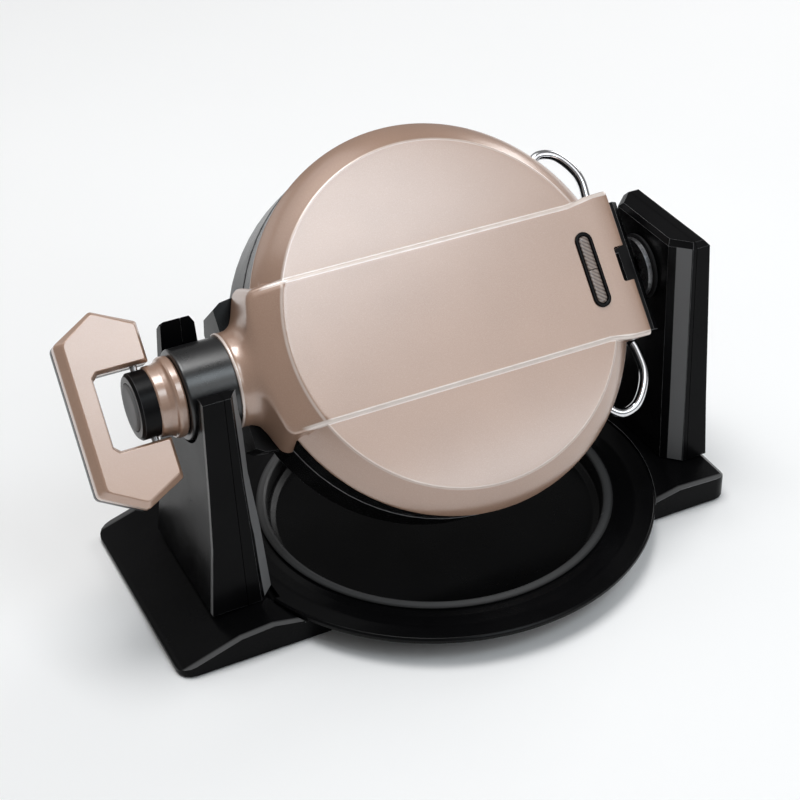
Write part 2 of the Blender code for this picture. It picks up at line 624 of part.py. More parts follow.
def build_pan(parts, stand):
    pan = finish_mesh("base_pan", lathe([
        (0, 1.8), (103.5, 1.8), (104.8, 3.2), (104.8, 13.5), (128.6, 13.5), (PAN_R, 14.6), (PAN_R, 16.8),
        (129.4, 17.7), (118, 15.9), (107, 17.0), (102.6, 17.0), (102.6, 4.4), (0, 4.4)]),
        parts["black_plastic"], stand, smooth_angle=35)
    cut(pan, box((-175, -118.6), (-44.8, 44.8), (-5, 40)))
    return pan


def build_tray(parts, tray):
    finish_mesh("drip_tray", lathe([
        (0, 4.8), (96, 4.8), (100.6, 7.0), (TRAY_R, 17.3), (105.6, 17.4), (105.8, 18.4), (102, 19.2),
        (99.8, 18.2), (98.4, 8.6), (94.5, 6.5), (0, 6.5)]), parts["satin_black"], tray, (0, 0, 0), 35)


def build_tower_screws(parts, stand):
    for name, x, y, z in (("left_front", -128.0, -24, 16), ("left_rear", -128.0, 24, 16),
                          ("right_front", 146.0, -24, 16), ("right_rear", 146.0, 24, 16)):
        screw = finish_mesh("tower_screw_" + name,
                            lathe([(0, 1.0), (4.0, 1.0), (4.0, 3.2), (1.9, 3.2), (1.9, z - 4), (0, z - 4)],
                                  16, "Z", (x, y, 0)), parts["steel"], stand, smooth_angle=40)
        foot = bpy.data.objects["left_foot" if x < 0 else "right_foot"]
        cut(foot, lathe([(0, -2), (4.4, -2), (4.4, 3.6), (2.3, 3.6), (2.3, z - 3), (0, z - 3)],
                        16, "Z", (x, y, 0)))
        cut(screw, box((x - 3, x + 3), (y - 0.5, y + 0.5), (-1, 1.9)))


def main():
    clear_scene()
    parts = make_materials()
    stand = make_empty("stand_centre", None, (CENTRE_X, 0, 0))
    flip = make_empty("flip_axis", stand, (0, 0, AXIS_Z), TILT)
    lid = make_empty("lid_hinge_axis", flip, (HINGE_X, 0, HINGE_Z))
    handle = make_empty("handle_fold_axis", flip, (HANDLE_PIVOT_X, 0, 0))
    button = make_empty("button_axis", flip, (BARREL_X[0], 0, 0))
    tray = make_empty("tray_seat", stand, (0, 0, 0))
    build_pan(parts, stand)
    build_feet(parts, stand)
    build_tower_screws(parts, stand)
    build_left_tower(parts, stand)
    build_right_tower(parts, stand)
    build_tray(parts, tray)
    build_lower_half(parts, flip)
    build_hinge(parts, flip)
    build_neck(parts, flip)
    build_lid(parts, lid)
    build_handle(parts, handle)
    build_button(parts, button)


main()
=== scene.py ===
"""Rotating flip waffle maker: finishes, detailed visual pieces, floor, light and camera.

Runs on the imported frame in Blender 4.5. Shapes are worked out in millimetres. The cooker's own pieces are
made closed and level about the flip axis, then tilted into the frame's rest pose; the stand's pieces are made
about the point on the floor below that axis.
"""

import json
import math

import bmesh
import bpy
from mathutils import Matrix, Vector

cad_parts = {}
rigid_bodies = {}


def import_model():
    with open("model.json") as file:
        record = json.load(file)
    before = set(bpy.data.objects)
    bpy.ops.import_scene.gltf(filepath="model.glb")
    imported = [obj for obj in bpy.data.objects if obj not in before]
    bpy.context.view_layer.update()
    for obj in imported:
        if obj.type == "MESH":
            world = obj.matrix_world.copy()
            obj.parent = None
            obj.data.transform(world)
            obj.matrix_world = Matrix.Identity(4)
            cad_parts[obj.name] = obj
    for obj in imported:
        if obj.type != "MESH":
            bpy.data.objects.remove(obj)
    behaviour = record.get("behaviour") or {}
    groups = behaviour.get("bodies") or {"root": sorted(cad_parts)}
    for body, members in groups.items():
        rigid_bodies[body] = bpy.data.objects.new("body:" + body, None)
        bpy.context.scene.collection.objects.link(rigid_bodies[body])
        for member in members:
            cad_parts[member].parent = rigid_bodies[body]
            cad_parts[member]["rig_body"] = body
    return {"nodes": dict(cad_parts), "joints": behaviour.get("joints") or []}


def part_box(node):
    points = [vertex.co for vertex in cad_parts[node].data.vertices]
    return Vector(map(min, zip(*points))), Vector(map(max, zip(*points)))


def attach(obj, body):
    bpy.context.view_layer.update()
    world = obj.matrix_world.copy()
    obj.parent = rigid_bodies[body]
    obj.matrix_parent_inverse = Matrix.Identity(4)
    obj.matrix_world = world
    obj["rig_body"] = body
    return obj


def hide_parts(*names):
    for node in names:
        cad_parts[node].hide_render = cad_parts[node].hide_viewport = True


MM = 0.001
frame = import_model()
bpy.context.view_layer.update()
nodes = frame["nodes"]
slot_of = {name: node.data.materials[0].name.split(".")[0] for name, node in nodes.items()}
joints = {joint["name"]: joint for joint in frame["joints"]}

# The frame's own places
FLIP_AT = Vector(joints["flip"]["pos_m"])
LID_AXIS = Vector(joints["lid_open"]["axis"])
TILT = math.atan2(-LID_AXIS.z, -LID_AXIS.y)
COOKER = Matrix.Translation(FLIP_AT) @ Matrix.Rotation(TILT, 4, "X") @ Matrix.Scale(MM, 4)
STAND = Matrix.Translation((FLIP_AT.x, 0.0, 0.0)) @ Matrix.Scale(MM, 4)

# Lid
LID_R = 110.0
LID_TOP_R = 96.6
LID_TOP_Z = 36.0
LID_RIM_Z = 19.0
LID_WALL = 2.4
BAND_RISE = 1.15
BAND_HALF = 39.0
BAND_CORNER = 2.4
SEGMENT_FALL = 1.9        # how far the top's side segments drop from the band to the lid's edge
PARTING = 0.6
EAR_END = 111.0
EAR_LOW = 17.0
NECK_R = 25.0
INDICATOR_AT = (87.0, 1.0)
HANDLE_X = (-208.0, -162.0)
HANDLE_PIVOT_X = -169.5

# Stand
SEAMS = {"left": -137.0, "right": 150.0}      # where each tower's two shells meet
LEFT_SLOPE = (0.0451, 0.076)                  # half a tower's depth at the floor, and its loss per metre up
RIGHT_SLOPE = (0.0437, 0.040)
FOOT_MIDDLE, FOOT_HALF = 0.0055, 0.0719       # the feet's middle and half length along Y, in metres
TRAY_RIM_R = 0.1026

ROUND = 192               # sides of the large round pieces
SMALL_ROUND = 96
SLOT_ARC = 14             # sides of each round end of the indicator's slot


# Mesh helpers ---------------------------------------------------------------------------------------------

def monotone(table, x):
    """A smooth curve through (x, y) rows that never swings past them."""
    if x <= table[0][0]:
        return table[0][1]
    if x >= table[-1][0]:
        return table[-1][1]
    slopes = [(b[1] - a[1]) / (b[0] - a[0]) for a, b in zip(table, table[1:])]
    i = next(k for k in range(len(slopes)) if x <= table[k + 1][0])

    def tangent(k):
        if k in (0, len(table) - 1):
            return slopes[min(k, len(slopes) - 1)]
        before, after = slopes[k - 1], slopes[k]
        return 0.0 if before * after <= 0 else 2 * before * after / (before + after)

    x0, x1 = table[i][0], table[i + 1][0]
    t = (x - x0) / (x1 - x0)
    start, end = tangent(i) * (x1 - x0), tangent(i + 1) * (x1 - x0)
    return (table[i][1] * (1 + 2 * t) * (1 - t) ** 2 + start * t * (1 - t) ** 2
            + table[i + 1][1] * t * t * (3 - 2 * t) + end * t * t * (t - 1))


def rounded(outline, radius, steps=4, closed=True):
    """Round the corners of an outline of 2D points; radius is one number or one for each point."""
    count = len(outline)
    radii = radius if hasattr(radius, "__len__") else [radius] * count
    result = []
    for i, point in enumerate(outline):
        here = Vector(point)
        if radii[i] == 0 or (not closed and i in (0, count - 1)):
            result.append(tuple(here))
            continue
        to_before = Vector(outline[i - 1]) - here
        to_after = Vector(outline[(i + 1) % count]) - here
        if to_before.length < 1e-6 or to_after.length < 1e-6:
            result.append(tuple(here))
            continue
        a, b = to_before.normalized(), to_after.normalized()
        half = math.acos(max(-1.0, min(1.0, a.dot(b)))) / 2
        if half > math.radians(88):
            result.append(tuple(here))
            continue
        reach = min(radii[i] / math.tan(half), 0.45 * to_before.length, 0.45 * to_after.length)
        start, end = here + a * reach, here + b * reach
        for k in range(steps + 1):
            t = k / steps
            result.append(tuple(start * (1 - t) ** 2 + here * 2 * t * (1 - t) + end * t * t))
    return result


def lathe(profile, sides=ROUND, axis="Z", centre=(0, 0, 0)):
    """Turn a closed (radius, height) outline about an axis through centre."""
    bm = bmesh.new()
    angles = [math.tau * i / sides for i in range(sides)]
    rings = []
    for radius, height in profile:
        if radius:
            rings.append([bm.verts.new((radius * math.cos(a), radius * math.sin(a), height)) for a in angles])
        else:
            rings.append([bm.verts.new((0.0, 0.0, height))] * sides)
    for before, after in zip(rings, rings[1:] + rings[:1]):
        for i in range(sides):
            corners = tuple(dict.fromkeys((before[i - 1], before[i], after[i], after[i - 1])))
            if len(corners) > 2:
                bm.faces.new(corners)
    turn = {"Z": Matrix.Identity(4), "X": Matrix.Rotation(math.pi / 2, 4, "Y"),
            "Y": Matrix.Rotation(-math.pi / 2, 4, "X")}[axis]
    bmesh.ops.transform(bm, matrix=Matrix.Translation(centre) @ turn, verts=bm.verts[:])
    return bm


def loft(rings):
    """Join rings of equally many points into one closed solid with flat ends."""
    bm = bmesh.new()
    loops = [[bm.verts.new(point) for point in ring] for ring in rings]
    for low, high in zip(loops, loops[1:]):
        for i in range(len(low)):
            bm.faces.new((low[i - 1], low[i], high[i], high[i - 1]))
    bm.faces.new(loops[0])
    bm.faces.new(loops[-1])
    return bm


def box(x, y, z):
    corners = [(x[0], y[0]), (x[1], y[0]), (x[1], y[1]), (x[0], y[1])]
    return loft([[(a, b, height) for a, b in corners] for height in z])


def slot_outline(half_length, half_width):
    """The indicator's round-ended slot, long along Y, as (x, y) points."""
    straight = half_length - half_width
    points = []
    for end, start in ((1, 0), (-1, math.pi)):
        for i in range(SLOT_ARC + 1):
            angle = start + math.pi * i / SLOT_ARC
            points.append((INDICATOR_AT[0] + half_width * math.cos(angle),
                           INDICATOR_AT[1] + end * straight + half_width * math.sin(angle)))
    return points


def half_slot(half_length, half_width, gap, end):
    """One half of the indicator's slot: square across its middle, round at its outer end."""
    straight = half_length - half_width
    angles = [math.pi * i / SLOT_ARC for i in range(SLOT_ARC + 1)]
    arc = [(half_width * math.cos(a), straight + half_width * math.sin(a)) for a in angles]
    outline = [(half_width, gap), *arc, (-half_width, gap)]
    return [(INDICATOR_AT[0] + x, INDICATOR_AT[1] + end * y) for x, y in outline]


def finish_mesh(name, bm, matrix):
    """Place a bmesh in the frame and make it an object."""
    bmesh.ops.transform(bm, matrix=matrix, verts=bm.verts[:])
    bmesh.ops.recalc_face_normals(bm, faces=bm.faces[:])
    mesh = bpy.data.meshes.new(name)
    bm.to_mesh(mesh)
    bm.free()
    obj = bpy.data.objects.new(name, mesh)
    bpy.context.collection.objects.link(obj)
    return obj


def settle(obj):
    """Put an object's modifiers into its mesh."""
    graph = bpy.context.evaluated_depsgraph_get()
    mesh = bpy.data.meshes.new_from_object(obj.evaluated_get(graph))
    obj.modifiers.clear()
    obj.data = mesh


def combine(obj, matrix, tools):
    """Cut each (operation, bmesh) tool into obj, or join it on, for good."""
    made = []
    for operation, bm in tools:
        tool = finish_mesh(obj.name + "_tool", bm, matrix)
        modifier = obj.modifiers.new(operation, "BOOLEAN")
        modifier.operation, modifier.object, modifier.solver = operation, tool, "EXACT"
        made.append(tool)
    settle(obj)
    for tool in made:
        bpy.data.objects.remove(tool)


def piece(name, obj, body, slot, replaced, smooth_angle=35.0):
    """Give a new piece its finish, its body and the CAD nodes that it stands for."""
    obj.name = name
    obj.data.materials.clear()
    obj.data.materials.append(finishes[slot])
    obj.data.shade_smooth()
    obj.data.set_sharp_from_angle(angle=math.radians(smooth_angle))
    normals = obj.modifiers.new("normals", "WEIGHTED_NORMAL")
    normals.keep_sharp = True
    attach(obj, body)
    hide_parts(*replaced)


# Finishes -------------------------------------------------------------------------------------------------

class Finish:
    """A Principled material and the nodes that shade it."""

    def __init__(self, name, constants):
        self.material = bpy.data.materials.new(name)
        self.material.use_nodes = True
        self.tree = self.material.node_tree
        self.shader = self.tree.nodes["Principled BSDF"]
        for socket, value in constants.items():
            self.shader.inputs[socket].default_value = value
        coordinates = self.node("ShaderNodeTexCoord").outputs
        self.place, self.surface = coordinates["Object"], coordinates["Normal"]

    def node(self, kind, inputs=None, **settings):
        made = self.tree.nodes.new(kind)
        for key, value in settings.items():
            setattr(made, key, value)
        for key, value in (inputs or {}).items():
            if isinstance(value, bpy.types.NodeSocket):
                self.tree.links.new(value, made.inputs[key])
            else:
                made.inputs[key].default_value = value
        return made

    def noise(self, scale, detail=3.0, roughness=0.55, stretch=(1, 1, 1)):
        place = self.node("ShaderNodeMapping", {"Vector": self.place, "Scale": stretch})
        return self.node("ShaderNodeTexNoise", {"Vector": place.outputs["Vector"], "Scale": scale,
                                                "Detail": detail, "Roughness": roughness}).outputs["Fac"]

    def spread(self, value, low, high, start=0.3, end=0.7):
        """Turn a 0 to 1 value's middle into the range low to high."""
        return self.node("ShaderNodeMapRange", {"Value": value, "From Min": start, "From Max": end,
                                                "To Min": low, "To Max": high}).outputs["Result"]

    def blend(self, factor, a, b):
        mix = self.node("ShaderNodeMix", data_type="RGBA")
        for index, value in ((0, factor), (6, a), (7, b)):
            if isinstance(value, bpy.types.NodeSocket):
                self.tree.links.new(value, mix.inputs[index])
            else:
                mix.inputs[index].default_value = (*value, 1.0) if index else value
        return mix.outputs[2]

    def edges(self, patchiness):
        """1 on the faces marked as rounded edges and 0 elsewhere, a little patchy: where an edge highlight is
        painted.
        """
        mark = self.node("ShaderNodeAttribute", attribute_name="edge_highlight").outputs["Fac"]
        return self.times(mark, self.spread(self.noise(180.0), 1.0 - patchiness, 1.0))

    def chamfer_highlights(self, half, taper, low, high):
        """1 on a tower's upright diagonal faces, from low to high metres in from its front or back, where a
        highlight is painted.

        The tower is half deep at the floor and gets narrower by taper for each metre up.
        """
        normal = self.node("ShaderNodeSeparateXYZ", {"Vector": self.surface}).outputs
        across = self.size(self.times(normal["X"], normal["Y"]))
        place = self.node("ShaderNodeSeparateXYZ", {"Vector": self.place}).outputs
        edge = self.math("MULTIPLY_ADD", place["Z"], -taper, half)
        depth = self.math("SUBTRACT", edge, self.size(place["Y"]))
        within = self.line(depth, (low + high) / 2, (high - low) / 2, 0.0003)
        return self.times(self.spread(across, 0.0, 1.0, 0.34, 0.40), within)

    def rim(self, centre, half_width, blur, low):
        """1 round a ring about the stand's axis, centre metres out, where it is higher than low: where a rim
        highlight is painted.
        """
        x, y, z = self.node("ShaderNodeSeparateXYZ", {"Vector": self.place}).outputs
        radius = self.length(self.math("SUBTRACT", x, FLIP_AT.x), y)
        above = self.spread(z, 0.0, 1.0, low, low + 0.0006)
        return self.times(self.line(radius, centre, half_width, blur), above)

    def ends(self, half_width, blur):
        """1 on upward faces near the front and back ends of a foot, where an edge highlight is painted."""
        up = self.node("ShaderNodeSeparateXYZ", {"Vector": self.surface}).outputs["Z"]
        y = self.node("ShaderNodeSeparateXYZ", {"Vector": self.place}).outputs["Y"]
        along = self.size(self.math("SUBTRACT", y, FOOT_MIDDLE))
        near_end = self.line(along, FOOT_HALF - half_width, half_width, blur)
        return self.times(near_end, self.spread(up, 0.0, 1.0, 0.45, 0.6))

    def left_edge_highlight(self, half, taper, reach):
        """1 on the left tower's outer side, within reach metres of its front edge, where a highlight is
        painted.
        """
        x = self.node("ShaderNodeSeparateXYZ", {"Vector": self.surface}).outputs["X"]
        place = self.node("ShaderNodeSeparateXYZ", {"Vector": self.place}).outputs
        edge = self.math("MULTIPLY_ADD", place["Z"], taper, -half)
        depth = self.math("SUBTRACT", place["Y"], edge)
        seam = FLIP_AT.x + SEAMS["left"] * MM
        outside = self.times(self.spread(x, 1.0, 0.0, -0.8, -0.7),
                             self.spread(place["X"], 1.0, 0.0, seam - 0.0022, seam - 0.0014))
        return self.times(self.line(depth, reach / 2, reach / 2, 0.0012), outside)

    def end_face(self, steepness):
        """1 on the faces that look along -X."""
        x = self.node("ShaderNodeSeparateXYZ", {"Vector": self.surface}).outputs["X"]
        return self.spread(x, 1.0, 0.0, -steepness, 0.03 - steepness)

    def math(self, operation, *values):
        return self.node("ShaderNodeMath", dict(enumerate(values)), operation=operation).outputs[0]

    def size(self, value):
        return self.math("ABSOLUTE", value)

    def length(self, x, y):
        flat = self.node("ShaderNodeCombineXYZ", {"X": x, "Y": y}).outputs[0]
        return self.node("ShaderNodeVectorMath", {0: flat}, operation="LENGTH").outputs["Value"]

    def line(self, value, centre, half_width, blur):
        """1 where a value is within half_width of centre, fading to 0 over blur."""
        off = self.size(self.math("SUBTRACT", value, centre))
        return self.spread(off, 1.0, 0.0, half_width, half_width + blur)

    def either(self, a, b):
        return self.math("MAXIMUM", a, b)

    def times(self, a, b):
        return self.math("MULTIPLY", a, b)

    def bump(self, height, distance, strength, normal=None):
        inputs = {"Height": height, "Distance": distance, "Strength": strength}
        if normal:
            inputs["Normal"] = normal
        return self.node("ShaderNodeBump", inputs).outputs["Normal"]

    def use(self, colour=None, roughness=None, normal=None):
        for socket, value in (("Base Color", colour), ("Roughness", roughness), ("Normal", normal)):
            if value is not None:
                self.tree.links.new(value, self.shader.inputs[socket])
        return self.material


def copper_paint(name="copper_paint_finish", on_lid=False, painted_brightness=1.0):
    """Rose-gold paint: fine metal flake under a clear coat, with painted highlights: paler lines along its
    edges, or along the lid's creases and edges.
    """
    # painted light: a brightness above 1 makes a lighter copy of the paint, as for the handle
    deep, pale = [tuple(painted_brightness * c for c in tone) for tone in ((0.380, 0.229, 0.157), (0.405, 0.246, 0.170))]
    f = Finish(name, {"Metallic": 0.25, "IOR": 1.5, "Specular IOR Level": 0.3,
                      "Coat Weight": 1.0, "Coat Roughness": 0.22, "Coat IOR": 2.1})
    cloud = f.noise(14.0, 2.0)
    flake = f.noise(2600.0, 1.0)
    colour = f.blend(f.spread(cloud, 0.0, 1.0), pale, deep)
    colour = f.blend(f.spread(flake, 0.0, 0.35, 0.45, 0.8), colour, (0.56, 0.40, 0.31))
    # painted highlight: pale lines along the lid's turns, or along every marked rounded edge elsewhere
    highlight_mask = lid_highlight_lines(f) if on_lid else f.edges(0.35)
    colour = f.blend(highlight_mask, colour, (0.90, 0.80, 0.74))
    rough = f.spread(f.noise(40.0, 4.0), 0.36, 0.44)
    return f.use(colour, rough, f.bump(flake, 0.00002, 0.35, f.bump(f.noise(420.0, 1.0), 0.00003, 0.25)))


def lid_highlight_lines(f):
    """1 along the lid's turns, where a highlight is painted: the band's creases, the top's edge and the lip.
    """
    level = f.node("ShaderNodeMapping", {"Vector": f.place, "Location": FLIP_AT, "Rotation": (TILT, 0, 0),
                                         "Scale": (MM, MM, MM)}, vector_type="TEXTURE")
    x, y, z = f.node("ShaderNodeSeparateXYZ", {"Vector": level.outputs["Vector"]}).outputs
    radius = f.length(x, y)
    widening = f.spread(x, 0.0, 2.4, 84.0, 101.0)
    side = f.math("SUBTRACT", f.size(y), widening)
    on_top = f.spread(z, 0.0, 1.0, LID_TOP_Z - 4.5, LID_TOP_Z - 3.5)
    crease = f.times(f.line(side, BAND_HALF, 1.15, 0.5), f.spread(x, 0.0, 0.85, -106.0, -96.0))
    beside_band = f.spread(side, 0.0, 1.0, BAND_HALF, BAND_HALF + 0.5)
    off_band = f.either(beside_band, f.spread(x, 1.0, 0.0, 0.0, 1.0))
    circle = f.times(f.line(radius, LID_TOP_R + 0.2, 0.3, 0.7), f.times(off_band, 0.55))
    lip = f.times(f.line(x, -123.9, 0.45, 0.5), 0.7)
    turns = f.times(f.either(crease, circle), on_top)
    return f.times(f.either(turns, lip), f.spread(f.noise(90.0), 0.8, 1.0))


def moulded(name, dark, pale, rough, grain, grain_depth, edge_highlight, constants, marks=()):
    """A moulded plastic: faint clouding, fine spark-eroded grain and a painted highlight on its rounded
    edges.

    Each mark is a function that gives a Finish's mask and the grey painted there, mostly a painted highlight.
    """
    f = Finish(name, constants)
    colour = f.blend(f.spread(f.noise(25.0, 3.0), 0.0, 1.0), dark, pale)
    # each mark paints its grey over its mask: painted highlights, and the grip barrel's own grey end
    for mask, shade in marks:
        colour = f.blend(mask(f), colour, (shade, shade, shade * 1.01))
    # painted highlight: the marked rounded edges turned to a paler grey
    colour = f.blend(f.edges(0.6), colour, edge_highlight)
    fine = f.noise(grain, 2.0)
    smudge = f.spread(f.noise(30.0, 5.0, 0.6), rough[0], rough[1])
    return f.use(colour, smudge, f.bump(fine, grain_depth, 0.5))


def brushed(name, colours, rough, stretch, scale, depth, constants):
    """A drawn or brushed metal, its lines long along one axis."""
    f = Finish(name, {"Metallic": 1.0, **constants})
    lines = f.noise(scale, 3.0, 0.6, stretch)
    colour = f.blend(f.spread(lines, 0.0, 1.0), *colours)
    # painted highlight: the marked rounded edges drawn a quarter lighter
    colour = f.blend(f.edges(0.7), colour, tuple(min(1.0, c * 1.25) for c in colours[0]))
    return f.use(colour, f.spread(lines, *rough), f.bump(lines, depth, 0.5))


def nonstick():
    """Dark coated casting, speckled, with a fine orange-peel surface."""
    f = Finish("nonstick_finish", {"Metallic": 0.15, "IOR": 1.5})
    speck = f.noise(1500.0, 1.0)
    colour = f.blend(f.spread(f.noise(30.0), 0.0, 1.0), (0.020, 0.019, 0.019), (0.032, 0.031, 0.030))
    colour = f.blend(f.spread(speck, 0.0, 0.5, 0.64, 0.74), colour, (0.16, 0.155, 0.15))
    return f.use(colour, f.spread(f.noise(60.0, 4.0), 0.36, 0.5), f.bump(f.noise(700.0), 0.00004, 0.6))


def lamp_lens():
    """Smoked lens, finely ribbed across, over a dull warm lamp."""
    f = Finish("lamp_lens_finish", {"IOR": 1.49, "Coat Weight": 0.6, "Coat Roughness": 0.08})
    turned = f.node("ShaderNodeMapping", {"Vector": f.place, "Rotation": (-TILT, 0.0, math.radians(38))})
    wave = {"Vector": turned.outputs["Vector"], "Scale": 160.0, "Distortion": 0.0, "Detail": 0.0}
    ribs = f.node("ShaderNodeTexWave", wave, wave_type="BANDS", bands_direction="Y").outputs["Fac"]
    colour = f.blend(ribs, (0.07, 0.05, 0.045), (0.27, 0.22, 0.19))
    colour = f.blend(f.spread(f.noise(120.0), 0.0, 0.4), colour, (0.30, 0.22, 0.18))
    return f.use(colour, f.spread(ribs, 0.22, 0.38, 0.0, 1.0), f.bump(ribs, 0.0002, 0.6))


def make_finishes():
    plain = {"IOR": 1.46, "Specular IOR Level": 0.11}
    dull = {"IOR": 1.46, "Specular IOR Level": 0.075}
    sleek = {"IOR": 1.5, "Specular IOR Level": 0.80}
    black = ((0.0024, 0.0024, 0.0027), (0.0042, 0.0042, 0.0046), (0.18, 0.28), 2300.0, 0.00003)
    satin = ((0.0035, 0.0035, 0.0039), (0.0060, 0.0060, 0.0065), (0.24, 0.34), 1700.0, 0.00004,
             (0.050, 0.050, 0.052))
    # painted highlights: the towers' diagonal chamfer strips and the left tower's front edge in lighter grey
    left_tower_highlights = [(lambda f: f.chamfer_highlights(*LEFT_SLOPE, 0.0028, 0.0115), 0.205),
                  (lambda f: f.left_edge_highlight(*LEFT_SLOPE, 0.0026), 0.16)]
    right_tower_highlights = [(lambda f: f.chamfer_highlights(*RIGHT_SLOPE, 0.0006, 0.0066), 0.155)]
    return {
        "copper_paint": copper_paint(),
        "lid_paint": copper_paint("lid_paint_finish", True),
        # the handle's paint is the same paint painted 1.2 times lighter, as painted light
        "handle_paint": copper_paint("handle_paint_finish", painted_brightness=1.2),
        "black_plastic": moulded("black_plastic_finish", *black, (0.26, 0.26, 0.265), plain),
        "left_tower_plastic": moulded("left_tower_plastic_finish", *black, (0.34, 0.34, 0.345), dull,
                                      left_tower_highlights),
        "right_tower_plastic": moulded("right_tower_plastic_finish", *black, (0.24, 0.24, 0.245), dull,
                                       right_tower_highlights),
        "barrel_plastic": moulded("barrel_plastic_finish", *satin, plain,
                                  [(lambda f: f.end_face(0.97), 0.20)]),
        # painted highlight along the top edges of the feet's front and back ends
        "foot_plastic": moulded("foot_plastic_finish", *black, (0.24, 0.24, 0.245), dull,
                                [(lambda f: f.ends(0.0014, 0.0016), 0.095)]),
        "satin_black": moulded("satin_black_finish", *satin, sleek),
        # painted highlight round the tray's rolled rim
        "tray_coat": moulded("tray_coat_finish", (0.0030, 0.0030, 0.0032), (0.0050, 0.0050, 0.0053),
                             (0.20, 0.30), 1500.0, 0.00003, (0.060, 0.060, 0.062), plain,
                             [(lambda f: f.rim(TRAY_RIM_R, 0.0014, 0.0022, 0.0165), 0.085)]),
        "nonstick": nonstick(),
        "chrome_wire": brushed("chrome_wire_finish", ((0.80, 0.80, 0.82), (0.70, 0.70, 0.72)), (0.06, 0.16),
                               (1, 8, 1), 500.0, 0.00001, {}),
        "steel": brushed("steel_finish", ((0.56, 0.56, 0.57), (0.46, 0.46, 0.47)), (0.22, 0.40), (14, 1, 1),
                         420.0, 0.00002, {}),
        "aluminium_sheet": brushed("aluminium_sheet_finish", ((0.72, 0.72, 0.73), (0.62, 0.62, 0.64)),
                                   (0.28, 0.44), (1, 12, 1), 300.0, 0.00002, {}),
        "grey_plastic": moulded("grey_plastic_finish", (0.018, 0.018, 0.019), (0.026, 0.026, 0.027),
                                (0.34, 0.48), 2100.0, 0.00003, (0.07, 0.07, 0.07), plain),
        "button_plastic": moulded("button_plastic_finish", (0.190, 0.192, 0.196), (0.220, 0.222, 0.226),
                                  (0.34, 0.48), 2100.0, 0.00003, (0.28, 0.28, 0.285), plain),
        "rubber": moulded("rubber_finish", (0.014, 0.014, 0.014), (0.024, 0.024, 0.024), (0.72, 0.9),
                          1200.0, 0.00008, (0.05, 0.05, 0.05), {"IOR": 1.5, "Specular IOR Level": 0.3}),
        "lamp_lens": lamp_lens(),
        "brass": brushed("brass_finish", ((0.70, 0.50, 0.22), (0.58, 0.40, 0.17)), (0.24, 0.42), (1, 10, 1),
                         360.0, 0.00002, {}),
    }


finishes = make_finishes()


# Lid ------------------------------------------------------------------------------------------------------

def crown(radius):
    """Height of the lid's flat top, which swells very slightly to its middle."""
    return LID_TOP_Z + 0.3 * (1 - min(1.0, radius / LID_TOP_R) ** 2)


def fall_away(bm):
    """Curve the top's two side segments gently down, away from the band."""
    for vert in bm.verts:
        beyond = abs(vert.co.y) - BAND_HALF
        if beyond > 0 and vert.co.z > LID_RIM_Z + 1:
            share = min(1.0, (vert.co.z - LID_RIM_Z - 1) / (LID_TOP_Z - LID_RIM_Z - 1))
            vert.co.z -= SEGMENT_FALL * (beyond / (LID_TOP_R - BAND_HALF)) ** 2 * share
    return bm


# Where the band runs out into the throat: its height by distance from the middle, then by X its half width at
# the foot and at the top, and how far its section is from an arch (0) to a square (1)
THROAT_DROP = [(95.4, LID_TOP_Z + BAND_RISE), (96.6, LID_TOP_Z + BAND_RISE - 0.25), (98.2, 36.2),
               (104.0, 33.9), (111.5, 30.4), (117.0, 27.6), (121.0, 26.4), (124.6, 26.0)]
THROAT_BASE = [(-124.6, 26.0), (-118.0, 26.3), (-113.5, 28.4), (-110.5, 33.4), (-108.0, 39.8), (-105.5, 44.6),
               (-102.0, 46.4), (-98.0, 46.5), (80.0, 46.5), (84.0, 43.0), (90.0, 41.7), (111.0, 41.8)]
THROAT_TOP = [(-124.6, 20.6), (-118.0, 22.0), (-114.0, 24.6), (-111.5, 28.6), (-109.5, 33.4), (-107.5, 37.2),
              (-105.0, 38.6), (-100.0, BAND_HALF), (84.0, BAND_HALF), (99.0, 41.2), (111.0, 41.6)]
THROAT_SQUARE = [(-124.6, 0.0), (-118.0, 0.04), (-114.0, 0.22), (-111.5, 0.5), (-108.5, 0.88), (-105.0, 1.0)]


def band_height(x, y):
    radius = math.hypot(x, y)
    if x < 0 and radius > THROAT_DROP[0][0]:
        return monotone(THROAT_DROP, radius)
    return crown(radius) + BAND_RISE - 0.8 * max(0.0, (x - 97.0) / 14.0) ** 2


